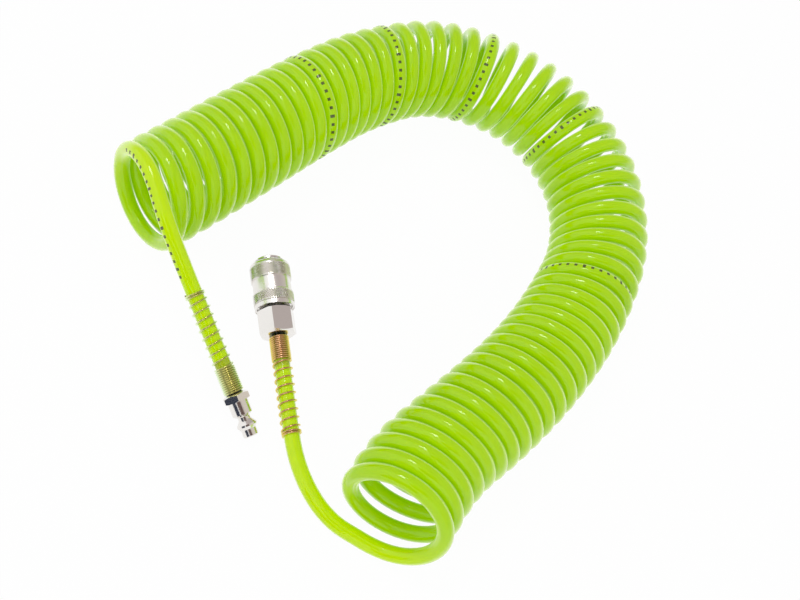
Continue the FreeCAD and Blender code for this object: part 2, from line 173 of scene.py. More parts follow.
# Sizes of the soft patterns in the finishes, in millimetres
TUBE_RIPPLE = 6.25
PIGMENT_CLOUD = 55.5
CHROMATE_DRIFT = 4.55
PLATING_CLOUD = 11.1

# Grain of plating and rubber in millimetres, drawn far coarser than it is so that it shows
PLATING_GRAIN = 1.111
RUBBER_GRAIN = 0.4

# Where the painted reflection on an edge begins and where it is full, from 0 seen straight on to 1 at the
# very edge
HOSE_RIM = (0.45, 0.85)
WIRE_SHEEN = (0.12, 0.6)

# Least and most that the clouds in a plating change its roughness, as shares of it
CLOUDING = (0.75, 1.3)

# Lamps: name, place, side and power, and whether bright surfaces mirror the lamp
LAMPS = [
    ("key_softbox", (-0.62, 0.11, 1.47), 0.36, 4.5, True),
    ("fill_softbox", (1.1, -0.5, 1.1), 1.1, 3.5, False),
    ("front_softbox", (-0.4, -1.3, 0.9), 0.9, 3.5, False),
]

# Cards that only show mirrored: name, place, size and the stage's colour for it
CARDS = [
    ("dark_flag", (-0.34, -1.46, 0.5), (1.2, 1.0), "flag_colour"),
    ("camera_side", (0.28, -0.7, 1.18), (0.9, 0.7), "camera_side_colour"),
]

# Directions in which the mirrored rear and right walls begin and are full, and the rear one's slant
REAR_WALL = (-0.18, -0.12)
RIGHT_WALL = (0.2, 0.6)
REAR_WALL_SLANT = 0.5


def fitting_frame(origin, heading, tilt):
    """Matrix of a fitting whose local Z runs to its mouth and local X points up."""
    heading = math.radians(heading)
    tilt = math.radians(tilt)
    flat = Vector((math.cos(heading), math.sin(heading), 0))
    axis = flat * math.cos(tilt) + Vector((0, 0, math.sin(tilt)))
    upward = Vector((0, 0, math.cos(tilt))) - flat * math.sin(tilt)
    side = axis.cross(upward)
    matrix = Matrix((upward, side, axis)).transposed().to_4x4()
    matrix.translation = origin
    return matrix


COUPLER = fitting_frame((-0.0176, -0.0937, 0.0092), 131.0, 4.5)


def linear(code):
    """Linear RGBA of an sRGB hex colour."""
    channels = [int(code[place:place + 2], 16) / 255 for place in (1, 3, 5)]
    return tuple(c / 12.92 if c <= 0.04045 else ((c + 0.055) / 1.055) ** 2.4 for c in channels) + (1.0,)


def tint(label, code, about):
    """Colour property with its default given as sRGB hex."""
    return bpy.props.FloatVectorProperty(name=label, description=about, subtype="COLOR", size=4,
                                         min=0.0, max=1.0, default=linear(code))


def span(label, metres, about):
    """Length property in metres."""
    return bpy.props.FloatProperty(name=label, description=about, unit="LENGTH", default=metres,
                                   precision=5)


def portion(label, value, about):
    """Property from nothing to all."""
    return bpy.props.FloatProperty(name=label, description=about, default=value, min=0.0, max=1.0,
                                   subtype="FACTOR")


def amount(label, value, about):
    """Plain number property."""
    return bpy.props.FloatProperty(name=label, description=about, default=value)


class HoseSettings(bpy.types.PropertyGroup):
    """Sizes and colours of the hose."""
    diameter: span("Diameter", 0.008, "Outside diameter of the hose")
    turn_radius: span("Turn radius", 0.025, "Radius of the turns on the hose's centre line")
    ground_cut: span("Flat", 0.0005, "How far the turns settle on the surface that they lie on")
    points_per_turn: bpy.props.IntProperty(name="Points per turn", default=16, min=12,
                                           description="Control points in each turn of the spline")
    body_colour: tint("Body", "#ADD700", "Fluorescent pigment of the hose")
    deep_colour: tint("Deep", "#A0CA00", "Pigment where the wall is seen through its depth")
    rim_colour: tint("Rim", "#E6F4B8", "Edges of the hose, where it mirrors the white walls")
    tail_colour: tint("Tail", "#BCDC00", "Single hose with light coming through it from the paper")
    stem_colour: tint("Stem", "#A2B422", "Hose over the metal stem inside it")
    # Painted shade: the hose's last millimetres are coloured near black for the shadow in its seat
    seat_shade_colour: tint("Seat", "#141804", "Hose end in its dark seat")
    tail_length: span("Tail length", 0.130, "How far the single hose runs from either end")
    stem_length: span("Stem length", 0.0128, "How far the metal stem reaches into the hose")
    seat_shade_length: span("Seat length", 0.0018, "How far the dark end shows")
    tail_fade: span("Tail fade", 0.04, "Length in which the tail's colour turns to the coil's")
    stem_fade: span("Stem fade", 0.001, "Length in which the stem's colour ends")
    seat_shade_fade: span("Seat fade", 0.0001, "Length in which the dark end ends")
    rim_share: portion("Rim share", 0.62, "Share of the rim's colour at the very edge")
    mark_colour: tint("Marks", "#55602E", "Ink of the scale marks")
    mark_pitch: span("Mark pitch", 0.0040, "Distance from mark to mark")
    mark_width: span("Mark width", 0.00144, "Width of a mark along the hose")


class GuardSettings(bpy.types.PropertyGroup):
    """Sizes and colours of the two spring guards."""
    wire: span("Wire", 0.00095, "Diameter of the spring wire")
    radius: span("Radius", 0.00455, "Radius of the wire's turns")
    start: span("Start", 0.0018, "Distance of the first turn from the end of the hose in its seat")
    length: span("Length", 0.0519, "Length of a guard")
    close_turns: amount("Close turns", 12.4, "Turns side by side")
    open_turns: amount("Open turns", 8.6, "Turns drawn apart")
    end_turns: amount("End turns", 2.0, "Turns side by side at the end")
    plug_colour: tint("Plug side", "#A9A552", "Yellow chromate with a green cast")
    plug_speck_colour: tint("Plug side specks", "#D8C878", "Golden drift in that colour")
    # Painted sheen: the pale colour that the plug side's wire takes where it is seen aslant
    plug_sheen_colour: tint("Plug side aslant", "#E6F6C8", "That plating seen aslant")
    coupler_colour: tint("Coupler side", "#D09882", "Yellow chromate with a copper cast")
    coupler_speck_colour: tint("Coupler side specks", "#DDB07C", "Golden drift in that colour")
    # Painted sheen: the pale colour that the coupler side's wire takes where it is seen aslant
    coupler_sheen_colour: tint("Coupler side aslant", "#E8D868", "That plating seen aslant")


class SleeveSettings(bpy.types.PropertyGroup):
    """Sizes of the locking sleeve's grip bands."""
    knurls: bpy.props.IntProperty(name="Knurls", default=52, description="Diamonds round a grip band")
    knurl_depth: span("Knurl depth", 0.00045, "Depth of the cut between the diamonds")
    knurl_height: span("Knurl height", 0.0013, "Height of a diamond along the sleeve")
    rim: span("Rim", 0.0003, "Plain rim at each end of a grip band")


class FinishSettings(bpy.types.PropertyGroup):
    """Colours of the metals and seals."""
    nickel_colour: tint("Nickel", "#EFECE8", "Bright nickel plate on brass")
    ring_colour: tint("Ring", "#4A4644", "Blackened steel of the retaining ring")
    rubber_colour: tint("Rubber", "#1B1B1C", "Nitrile rubber of the seals")
    steel_colour: tint("Steel", "#B4B6B8", "Hardened steel of the balls and hidden springs")


class StageSettings(bpy.types.PropertyGroup):
    """Camera, floor and lamps."""
    camera_place: bpy.props.FloatVectorProperty(name="Camera", description="Place of the camera",
                                                unit="LENGTH", default=(0.023, -0.321787, 0.421))
    camera_tilt: bpy.props.FloatProperty(name="Tilt", description="Camera's tilt from straight down",
                                         subtype="ANGLE", default=math.radians(35.0))
    camera_roll: bpy.props.FloatProperty(name="Roll", description="Camera's roll", subtype="ANGLE",
                                         default=math.radians(34.10))
    lens: amount("Lens", 41.76, "Focal length in millimetres")
    floor_colour: tint("Floor", "#F4F4F4", "White paper sweep")
    floor_size: span("Floor size", 6.0, "Side of the floor")
    floor_drop: span("Floor drop", 0.0002, "How far under the hose the floor lies")
    paper_glow: portion("Paper glow", 0.97, "Share of plain white in the paper's look")
    surroundings: amount("Surroundings", 0.55, "Light from the walls all round")
    ceiling_colour: tint("Ceiling", "#BAB0AE", "Ceiling and rear wall as bright metal mirrors them")
    right_wall_colour: tint("Right wall", "#DCD4CA", "Right wall as bright metal mirrors it")
    flag_colour: tint("Flag", "#373C4B", "Dark flag low in front")
    camera_side_colour: tint("Camera side", "#64504B", "Camera stand as bright metal mirrors it")


SETTINGS = {
    "air_hose": HoseSettings,
    "air_hose_guard": GuardSettings,
    "air_hose_sleeve": SleeveSettings,
    "air_hose_finish": FinishSettings,
    "air_hose_stage": StageSettings,
}


def blend(values, turn):
    """Value at a turn on the smooth curve that the stations' numbers control."""
    spans = len(values) - 2
    place = (turn - FIRST_STATION_TURN) / STATION_SPACING
    step = min(max(int(place), 0), spans - 1)
    share = place - step
    start = values[0] if step == 0 else (values[step] + values[step + 1]) / 2
    end = values[-1] if step == spans - 1 else (values[step + 1] + values[step + 2]) / 2
    return (1 - share) ** 2 * start + 2 * share * (1 - share) * values[step + 1] + share ** 2 * end


def coil_place(hose, turn, radius):
    """Point of a turn at a radius from the coil's axis, and its direction away from that axis."""
    x, y, heading, lean = (blend(column, turn) for column in zip(*COIL_STATIONS))
    heading = math.radians(heading)
    lean = math.radians(lean)
    along = Vector((math.cos(heading), math.sin(heading), 0))
    outward = Vector((math.sin(heading), -math.cos(heading), 0))
    top = Vector((0, 0, math.cos(lean))) + along * math.sin(lean)
    height = hose.diameter / 2 - hose.ground_cut + hose.turn_radius * math.cos(lean)
    angle = 2 * math.pi * turn
    away = top * math.cos(angle) - outward * math.sin(angle)
    return Vector((x, y, height)) + away * radius, away


def arc_reach(points_per_turn):
    """How far inside its control points a round turn of the spline runs, as a share of their radius."""
    return 0.75 + 0.25 * math.cos(2 * math.pi / points_per_turn)


def nurbs_tube(name, points, diameter, sides, steps, tilts=None):
    """Round tube on one smooth spline that the points control."""
    curve = bpy.data.curves.new(name, "CURVE")
    curve.dimensions = "3D"
    curve.twist_mode = "MINIMUM"
    curve.bevel_depth = diameter / 2
    curve.bevel_resolution = (sides - 4) // 2
    curve.use_fill_caps = True
    spline = curve.splines.new("NURBS")
    spline.points.add(len(points) - 1)
    for place, point in zip(spline.points, points):
        place.co = (*point, 1.0)
    for place, tilt in zip(spline.points, tilts or []):
        place.tilt = tilt
    spline.order_u = 3
    spline.use_endpoint_u = True
    spline.resolution_u = steps
    curve.resolution_u = steps
    spline.use_smooth = True
    tube = bpy.data.objects.new(name, curve)
    bpy.context.scene.collection.objects.link(tube)
    return tube


def spline_line(tube):
    """Points along a tube's own spline."""
    bare = bpy.data.objects.new("bare_line", tube.data.copy())
    bare.data.bevel_depth = 0
    mesh = bpy.data.meshes.new_from_object(bare)
    line = [vertex.co.copy() for vertex in mesh.vertices]
    bpy.data.meshes.remove(mesh)
    bpy.data.curves.remove(bare.data)
    return line


def even_route(points, spacing):
    """Points at an even spacing on the smooth spline that a tail's few points control."""
    route = [Vector(point) for point in points]
    for _ in range(ROUTE_ROUNDS):
        cut = [route[0]]
        for before, after in zip(route, route[1:]):
            cut += [before.lerp(after, 0.25), before.lerp(after, 0.75)]
        route = cut + [route[-1]]
    length = sum((after - before).length for before, after in zip(route, route[1:]))
    count = round(length / spacing)
    even = [route[0]]
    walked = 0.0
    for before, after in zip(route, route[1:]):
        run = (after - before).length
        while len(even) < count and walked + run >= length * len(even) / count:
            even.append(before.lerp(after, (length * len(even) / count - walked) / run))
        walked += run
    return even + [route[-1]]


def carried_normal(normal, before, after):
    """Normal taken along from one direction to the next without twist."""
    normal = before.rotation_difference(after) @ normal
    return (normal - after * normal.dot(after)).normalized()


def new_material(name):
    """Material with an empty node tree and an output, and that tree."""
    material = bpy.data.materials.new(name)
    material.use_nodes = True
    material.node_tree.nodes.clear()
    return material, material.node_tree


def add(tree, kind, links=None, **settings):
    """Node with its settings, and links or values for its sockets; returns it."""
    made = tree.nodes.new(kind)
    for name, value in settings.items():
        setattr(made, name, value)
    for socket, value in (links or {}).items():
        if isinstance(value, bpy.types.NodeSocket):
            tree.links.new(value, made.inputs[socket])
        else:
            made.inputs[socket].default_value = value
    return made


def waves(size):
    """Noise scale for a pattern of a size in millimetres, as whole waves per metre."""
    return round(1 / (size * MM))


def polyurethane(hose, total_length):
    """Extruded polyurethane, glossy and full of fluorescent pigment: a painted glow of its own colour lifts
    it in its own shade.
    """
    material, tree = new_material("fluorescent_polyurethane")
    coordinates = add(tree, "ShaderNodeTexCoord")
    sweep = add(tree, "ShaderNodeSeparateXYZ", {0: coordinates.outputs["UV"]})
    ripple = add(tree, "ShaderNodeTexNoise", {"Vector": coordinates.outputs["Object"],
                                              "Scale": waves(TUBE_RIPPLE), "Detail": 2.0})
    cloud = add(tree, "ShaderNodeTexNoise", {"Vector": coordinates.outputs["Object"],
                                             "Scale": waves(PIGMENT_CLOUD)})
    shade = add(tree, "ShaderNodeMix", {"Factor": cloud.outputs["Fac"], "A": hose.body_colour,
                                        "B": hose.deep_colour}, data_type="RGBA")
    along = add(tree, "ShaderNodeMath", {0: sweep.outputs["X"], 1: total_length}, operation="MULTIPLY")
    past_middle = add(tree, "ShaderNodeMath", {0: along.outputs[0], 1: total_length / 2},
                      operation="SUBTRACT")
    from_middle = add(tree, "ShaderNodeMath", {0: past_middle.outputs[0]}, operation="ABSOLUTE")
    from_end = add(tree, "ShaderNodeMath", {0: total_length / 2, 1: from_middle.outputs[0]},
                   operation="SUBTRACT")
    zones = [
        (hose.tail_colour, hose.tail_length, hose.tail_fade),
        (hose.stem_colour, hose.stem_length, hose.stem_fade),
        # painted shade: near black at both ends of the hose, for the shadow in the seats
        (hose.seat_shade_colour, hose.seat_shade_length, hose.seat_shade_fade),
    ]
    for colour, reach, fade in zones:
        over = add(tree, "ShaderNodeMapRange", {"Value": from_end.outputs[0],
                                                "From Min": reach + fade, "From Max": reach})
        shade = add(tree, "ShaderNodeMix", {"Factor": over.outputs["Result"], "A": shade.outputs["Result"],
                                            "B": colour}, data_type="RGBA")
    facing = add(tree, "ShaderNodeLayerWeight", {"Blend": 0.5})
    edge = add(tree, "ShaderNodeMapRange", {"Value": facing.outputs["Facing"], "From Min": HOSE_RIM[0],
                                            "From Max": HOSE_RIM[1], "To Max": hose.rim_share})
    shade = add(tree, "ShaderNodeMix", {"Factor": edge.outputs["Result"], "A": shade.outputs["Result"],
                                        "B": hose.rim_colour}, data_type="RGBA")
    marks = scale_marks(tree, hose, along.outputs[0], sweep.outputs["Y"])
    colour = add(tree, "ShaderNodeMix", {"Factor": marks, "A": shade.outputs["Result"],
                                         "B": hose.mark_colour}, data_type="RGBA")
    bump = add(tree, "ShaderNodeBump", {"Height": ripple.outputs["Fac"], "Strength": 0.04,
                                        "Distance": 0.0003})
    surface = add(tree, "ShaderNodeBsdfPrincipled", {
        "Base Color": colour.outputs["Result"],
        "Roughness": 0.09,
        "IOR": 1.5,
        "Specular IOR Level": 0.42,
        "Subsurface Weight": 0.6,
        "Subsurface Radius": (0.0020, 0.0025, 0.0004),
        "Subsurface Scale": 1.0,
        # painted light: the hose glows in its own colour, which lifts its shade
        "Emission Color": colour.outputs["Result"],
        "Emission Strength": 0.2,
        "Normal": bump.outputs["Normal"],
    })
    add(tree, "ShaderNodeOutputMaterial", {"Surface": surface.outputs["BSDF"]})
    return material


def scale_marks(tree, hose, along, around):
    """Mask of plain scale marks: rows of bars like a ruler's, each fifth one longer."""
    in_rows = 0.0
    step = add(tree, "ShaderNodeMath", {0: along, 1: hose.mark_pitch}, operation="FLOORED_MODULO")
    bar = add(tree, "ShaderNodeMath", {0: step.outputs[0], 1: hose.mark_width}, operation="LESS_THAN")
    group = add(tree, "ShaderNodeMath", {0: along, 1: hose.mark_pitch * MARKS_PER_GROUP},
                operation="FLOORED_MODULO")
    fifth = add(tree, "ShaderNodeMath", {0: group.outputs[0], 1: hose.mark_pitch}, operation="LESS_THAN")
    reach = add(tree, "ShaderNodeMath", {0: fifth.outputs[0], 1: LONG_MARK - SHORT_MARK, 2: SHORT_MARK},
                operation="MULTIPLY_ADD")
    for start, end, place in MARK_ROWS:
        row = add(tree, "ShaderNodeMath", {0: along, 1: (start + end) / 2, 2: (end - start) / 2},
                  operation="COMPARE")
        side = add(tree, "ShaderNodeMath", {0: around, 1: place, 2: reach.outputs[0]}, operation="COMPARE")
        in_rows = add(tree, "ShaderNodeMath", {0: row.outputs[0], 1: side.outputs[0], 2: in_rows},
                      operation="MULTIPLY_ADD").outputs[0]
    return add(tree, "ShaderNodeMath", {0: in_rows, 1: bar.outputs[0]}, operation="MULTIPLY").outputs[0]


def plated_wire(name, colour, speck, sheen_tone):
    """Spring wire in yellow chromate on zinc: its hue drifts along the wire and turns with the angle, to a
    pale painted sheen where the wire is seen aslant.
    """
    material, tree = new_material(name)
    coordinates = add(tree, "ShaderNodeTexCoord")
    drift = add(tree, "ShaderNodeTexNoise", {"Vector": coordinates.outputs["Object"],
                                             "Scale": waves(CHROMATE_DRIFT), "Detail": 3.0})
    facing = add(tree, "ShaderNodeLayerWeight", {"Blend": 0.5})
    edge = add(tree, "ShaderNodeMapRange", {"Value": facing.outputs["Facing"], "From Min": WIRE_SHEEN[0],
                                            "From Max": WIRE_SHEEN[1]})
    shade = add(tree, "ShaderNodeMix", {"Factor": drift.outputs["Fac"], "A": colour, "B": speck},
                data_type="RGBA")
    # painted sheen: a pale colour where the wire is seen aslant
    shade = add(tree, "ShaderNodeMix", {"Factor": edge.outputs["Result"], "A": shade.outputs["Result"],
                                        "B": sheen_tone}, data_type="RGBA")
    surface = add(tree, "ShaderNodeBsdfPrincipled", {
        "Base Color": shade.outputs["Result"],
        "Metallic": 1.0,
        "Roughness": 0.18,
    })
    add(tree, "ShaderNodeOutputMaterial", {"Surface": surface.outputs["BSDF"]})
    return material


def bright_metal(name, colour, roughness):
    """Plated metal, a little cloudy and finely grained."""
    material, tree = new_material(name)
    coordinates = add(tree, "ShaderNodeTexCoord")
    cloud = add(tree, "ShaderNodeTexNoise", {"Vector": coordinates.outputs["Object"],
                                             "Scale": waves(PLATING_CLOUD), "Detail": 4.0})
    rough = add(tree, "ShaderNodeMapRange", {"Value": cloud.outputs["Fac"],
                                             "To Min": roughness * CLOUDING[0],
                                             "To Max": roughness * CLOUDING[1]})
    grain = add(tree, "ShaderNodeTexNoise", {"Vector": coordinates.outputs["Object"],
                                             "Scale": waves(PLATING_GRAIN), "Detail": 2.0})
    bump = add(tree, "ShaderNodeBump", {"Height": grain.outputs["Fac"], "Strength": 0.06,
                                        "Distance": 0.0001})
    surface = add(tree, "ShaderNodeBsdfPrincipled", {
        "Base Color": colour,
        "Metallic": 1.0,
        "Roughness": rough.outputs["Result"],
        "Normal": bump.outputs["Normal"],
    })
    add(tree, "ShaderNodeOutputMaterial", {"Surface": surface.outputs["BSDF"]})
    return material


def moulded_rubber(colour):
    """Moulded nitrile rubber: black, dull, finely grained."""
    material, tree = new_material("nitrile_rubber")
    coordinates = add(tree, "ShaderNodeTexCoord")
    grain = add(tree, "ShaderNodeTexNoise", {"Vector": coordinates.outputs["Object"],
                                             "Scale": waves(RUBBER_GRAIN)})
    bump = add(tree, "ShaderNodeBump", {"Height": grain.outputs["Fac"], "Strength": 0.2,
                                        "Distance": 0.0001})
    surface = add(tree, "ShaderNodeBsdfPrincipled", {
        "Base Color": colour,
        "Roughness": 0.55,
        "Normal": bump.outputs["Normal"],
    })
    add(tree, "ShaderNodeOutputMaterial", {"Surface": surface.outputs["BSDF"]})
    return material


def choose(piece):
    """Select one piece alone and make it the active one."""
    bpy.ops.object.select_all(action="DESELECT")
    piece.select_set(True)
    bpy.context.view_layer.objects.active = piece


def clothe(piece, material):
    """Give a piece one material all over."""
    piece.data.materials.clear()
    piece.data.materials.append(material)


def finish_piece(piece, material, slot, body, *nodes):
    """Material, body and replaced nodes of a finished piece; its slot is not used."""
    clothe(piece, material)
    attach(piece, body)
    if nodes:
        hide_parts(*nodes)


class AIRHOSE_OT_hose(bpy.types.Operator):
    """Wind the hose: both tails and all the turns between them, on one spline"""
    bl_idname = "air_hose.hose"
    bl_label = "Hose"

    def execute(self, context):
        hose = context.scene.air_hose
        radius = hose.turn_radius / arc_reach(hose.points_per_turn)
        count = round((COIL_LAST_TURN - COIL_FIRST_TURN) * hose.points_per_turn)
        spacing = 2 * math.pi * radius / hose.points_per_turn
        points = even_route(PLUG_TAIL, spacing)
        outward = [None] * len(points)
        for step in range(count + 1):
            turn = COIL_FIRST_TURN + (COIL_LAST_TURN - COIL_FIRST_TURN) * step / count
            place, away = coil_place(hose, turn, radius)
            points.append(place)
            outward.append(away)
        coupler_tail = even_route(COUPLER_TAIL, spacing)
        points += coupler_tail
        outward += [None] * len(coupler_tail)
        tilts = self.tilts(points, outward)
        tube = nurbs_tube("air_hose", points, hose.diameter, sides=16, steps=3, tilts=tilts)
        finish_piece(tube, polyurethane(hose, HOSE_LENGTH), "hose", "root",
                     *[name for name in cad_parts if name.startswith("hose_")])
        return {"FINISHED"}

    def tilts(self, points, outward):
        """Tilt at each point that keeps one side of the tube turned away from the coil's axis."""
        directions = [(after - before).normalized() for before, after in zip(points, points[1:])]
        directions.append(directions[-1])
        normal = directions[0].orthogonal().normalized()
        tilt = None
        tilts = []
        for step, direction in enumerate(directions):
            if step:
                normal = carried_normal(normal, directions[step - 1], direction)
            away = outward[step]
            if away is not None:
                side = direction.cross(normal)
                angle = math.atan2(away.dot(side), away.dot(normal))
                if tilt is None:
                    tilt = angle
                    tilts = [tilt] * step
                tilt = angle + 2 * math.pi * round((tilt - angle) / (2 * math.pi))
            tilts.append(tilt)
        return tilts


class AIRHOSE_OT_guards(bpy.types.Operator):
    """Wind a spring guard round each tail, on the hose's own line"""
    bl_idname = "air_hose.guards"
    bl_label = "Spring guards"

    def execute(self, context):
        guard = context.scene.air_hose_guard
        line = spline_line(bpy.data.objects["air_hose"])
        plug_wire = plated_wire("greenish_yellow_chromate", guard.plug_colour, guard.plug_speck_colour,
                                guard.plug_sheen_colour)
        coupler_wire = plated_wire("coppery_yellow_chromate", guard.coupler_colour,
                                   guard.coupler_speck_colour, guard.coupler_sheen_colour)
        self.wind(guard, "guard_on_plug_tail", line, plug_wire, "spring_guard_plug")
        self.wind(guard, "guard_on_coupler_tail", line[::-1], coupler_wire, "spring_guard_coupler")
        return {"FINISHED"}

    def wind(self, guard, name, line, material, node):
        """One guard from the fitting's seat along the line."""
        close_pitch = guard.wire * CLOSE_PITCH
        open_pitch = guard.length - guard.wire - close_pitch * (guard.close_turns + guard.end_turns)
        open_pitch /= guard.open_turns
        turns = guard.close_turns + guard.open_turns + guard.end_turns
        per_turn = WIRE_POINTS_PER_TURN
        radius = guard.radius / arc_reach(per_turn)
        walked = 0.0
        step = 0
        direction = (line[1] - line[0]).normalized()
        normal = direction.orthogonal().normalized()
        points = []
        for count in range(round(turns * per_turn) + 1):
            turn = count / per_turn
            opened = min(max(turn - guard.close_turns, 0), guard.open_turns)
            height = guard.start + guard.wire / 2 + close_pitch * (turn - opened) + open_pitch * opened
            while walked + (line[step + 1] - line[step]).length < height:
                walked += (line[step + 1] - line[step]).length
                step += 1
                following = (line[step + 1] - line[step]).normalized()
                normal = carried_normal(normal, direction, following)
                direction = following
            centre = line[step] + direction * (height - walked)
            angle = 2 * math.pi * turn
            away = normal * math.cos(angle) + direction.cross(normal) * math.sin(angle)
            points.append(centre + away * radius)
        piece = nurbs_tube(name, points, guard.wire, sides=10, steps=3)
        finish_piece(piece, material, "guard_wire", "root", node)


def lathe(name, outline, sides):
    """Closed ring turned from an outline of radius and height in millimetres, on the local Z axis."""
    bpy.ops.object.select_all(action="DESELECT")
    radius, height = outline[0]
    bpy.ops.mesh.primitive_circle_add(vertices=sides, radius=radius * MM, fill_type="NOTHING",
                                      location=(0, 0, height * MM))
    piece = bpy.context.object
    piece.name = name
    piece.data.name = name
    bpy.ops.object.transform_apply(location=True, rotation=True, scale=True)
    bpy.ops.object.mode_set(mode="EDIT")
    bpy.ops.mesh.select_all(action="SELECT")
    for next_radius, next_height in outline[1:] + outline[:1]:
        rise = (next_height - height) * MM
        bpy.ops.mesh.extrude_edges_move(TRANSFORM_OT_translate={"value": (0, 0, rise)})
        ratio = next_radius / radius
        bpy.ops.transform.resize(value=(ratio, ratio, 1), center_override=(0, 0, 0))
        radius, height = next_radius, next_height
    bpy.ops.mesh.select_all(action="SELECT")
    bpy.ops.mesh.remove_doubles(threshold=MERGE_DISTANCE)
    bpy.ops.mesh.normals_make_consistent(inside=False)
    bpy.ops.object.mode_set(mode="OBJECT")
    return piece


def set_in_place(piece, matrix):
    """Move a piece made on the local Z axis into its fitting and apply the place."""
    choose(piece)
    piece.matrix_world = matrix
    bpy.ops.object.transform_apply(location=True, rotation=True, scale=True)


class AIRHOSE_OT_sleeve(bpy.types.Operator):
    """Turn the locking sleeve and knurl its two grip bands"""
    bl_idname = "air_hose.sleeve"
    bl_label = "Locking sleeve"

    def execute(self, context):
        sleeve = context.scene.air_hose_sleeve
        finish = context.scene.air_hose_finish
        outline = SLEEVE_BACK + self.band(REAR_BAND, sleeve) + SLEEVE_WAIST
        outline += self.band(FRONT_BAND, sleeve) + SLEEVE_FRONT + SLEEVE_BORE
        piece = lathe("locking_sleeve_knurled", outline, 2 * sleeve.knurls)
        self.knurl(piece, sleeve)
        bpy.ops.object.shade_smooth_by_angle(angle=math.radians(25))
        set_in_place(piece, COUPLER)
        knurled = bright_metal("knurled_nickel", finish.nickel_colour, roughness=0.26)
        finish_piece(piece, knurled, "nickel", "sleeve", "locking_sleeve")
        return {"FINISHED"}

    def cut_rows(self, ends, sleeve):
        """Heights of the knurl's rows between the band's two rims."""
        first = ends[0] + sleeve.rim / MM
        last = ends[1] - sleeve.rim / MM
        count = 2 * round((last - first) * MM / sleeve.knurl_height)
        return [first + (last - first) * step / count for step in range(count + 1)]

    def band(self, ends, sleeve):
        """Outline of a grip band: a rim at each end and a row of points for each half diamond."""
        low = BAND_RADIUS - sleeve.knurl_depth / MM
        rows = [(low, height) for height in self.cut_rows(ends, sleeve)]
        return [(BAND_RIM_RADIUS, ends[0])] + rows + [(BAND_RIM_RADIUS, ends[1])]

    def knurl(self, piece, sleeve):
        """Raise every other point of the bands so that they become diamonds."""
        low = BAND_RADIUS * MM - sleeve.knurl_depth
        sides = 2 * sleeve.knurls
        for vertex in piece.data.vertices:
            x, y, z = vertex.co
            vertex.select = False
            if abs(math.hypot(x, y) - low) > MERGE_DISTANCE:
                continue
            ends = REAR_BAND if z < FRONT_BAND[0] * MM else FRONT_BAND
            heights = self.cut_rows(ends, sleeve)
            step = (heights[-1] - heights[0]) / (len(heights) - 1)
            row = round((z / MM - heights[0]) / step)
            column = round(math.atan2(y, x) / (2 * math.pi) * sides)
            vertex.select = 0 < row < len(heights) - 1 and (row + column) % 2 == 0
        for edge in piece.data.edges:
            edge.select = False
        for face in piece.data.polygons:
            face.select = False
        choose(piece)
        bpy.ops.object.mode_set(mode="EDIT")
        bpy.ops.mesh.select_mode(type="VERT")
        ratio = BAND_RADIUS * MM / low
        bpy.ops.transform.resize(value=(ratio, ratio, 1), center_override=(0, 0, 0))
        bpy.ops.mesh.select_all(action="SELECT")
        bpy.ops.mesh.quads_convert_to_tris(quad_method="SHORTEST_DIAGONAL")
        bpy.ops.object.mode_set(mode="OBJECT")


class AIRHOSE_OT_springs(bpy.types.Operator):
    """Wind the two springs hidden in the coupler"""
    bl_idname = "air_hose.springs"
    bl_label = "Hidden springs"

    def execute(self, context):
        finish = context.scene.air_hose_finish
        steel = bright_metal("spring_steel", finish.steel_colour, roughness=0.3)
        self.wind("sleeve_return_spring", SLEEVE_SPRING, steel, "sleeve_spring", "sleeve_slide", keep=0.76)
        self.wind("valve_return_spring", VALVE_SPRING, steel, "valve_spring", "poppet_slide", keep=0.42)
        return {"FINISHED"}

    def wind(self, name, sizes, material, node, joint, keep):
        """One spring with flat ends; its joint and the share of its length to keep at that joint's limit
        are not used.
        """
        radius, wire, rear, front, turns = sizes
        per_turn = WIRE_POINTS_PER_TURN
        reach = radius / arc_reach(per_turn)
        points = []
        for step in range(round(turns * per_turn) + 1):
            share = min(max((step / per_turn - FLAT_TURNS) / (turns - 2 * FLAT_TURNS), 0), 1)
            height = rear + wire / 2 + (front - rear - wire) * share
            angle = 2 * math.pi * step / per_turn
            place = Vector((reach * math.cos(angle), reach * math.sin(angle), height))
            points.append(COUPLER @ (place * MM))
        piece = nurbs_tube(name, points, wire * MM, sides=8, steps=2)
        choose(piece)
        bpy.ops.object.convert(target="MESH")
        piece = bpy.context.object
        finish_piece(piece, material, "spring_steel", "root", node)
        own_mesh(piece)


class AIRHOSE_OT_fittings(bpy.types.Operator):
    """Finish the metal parts, balls and seals"""
    bl_idname = "air_hose.fittings"
    bl_label = "Fittings"

    def execute(self, context):
        finish = context.scene.air_hose_finish
        nickel = bright_metal("bright_nickel", finish.nickel_colour, roughness=0.17)
        blackened = bright_metal("blackened_spring_steel", finish.ring_colour, roughness=0.4)
        steel = bright_metal("polished_ball_steel", finish.steel_colour, roughness=0.08)
        rubber = moulded_rubber(finish.rubber_colour)
        for name in ("plug_nipple", "rear_adapter", "coupler_body", "valve_poppet"):
            clothe(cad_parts[name], nickel)
        clothe(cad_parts["retaining_ring"], blackened)
        for name in ("body_gasket", "plug_seal", "valve_seal"):
            clothe(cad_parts[name], rubber)
        for number in range(1, 7):
            clothe(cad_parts[f"locking_ball_{number}"], steel)
        return {"FINISHED"}


class AIRHOSE_OT_cord(bpy.types.Operator):
    """Meant for the hose's facts as a cord, its length, its ends and how it lies; it does nothing"""
    bl_idname = "air_hose.cord"
    bl_label = "Cord facts"

    def execute(self, context):
        return {"FINISHED"}


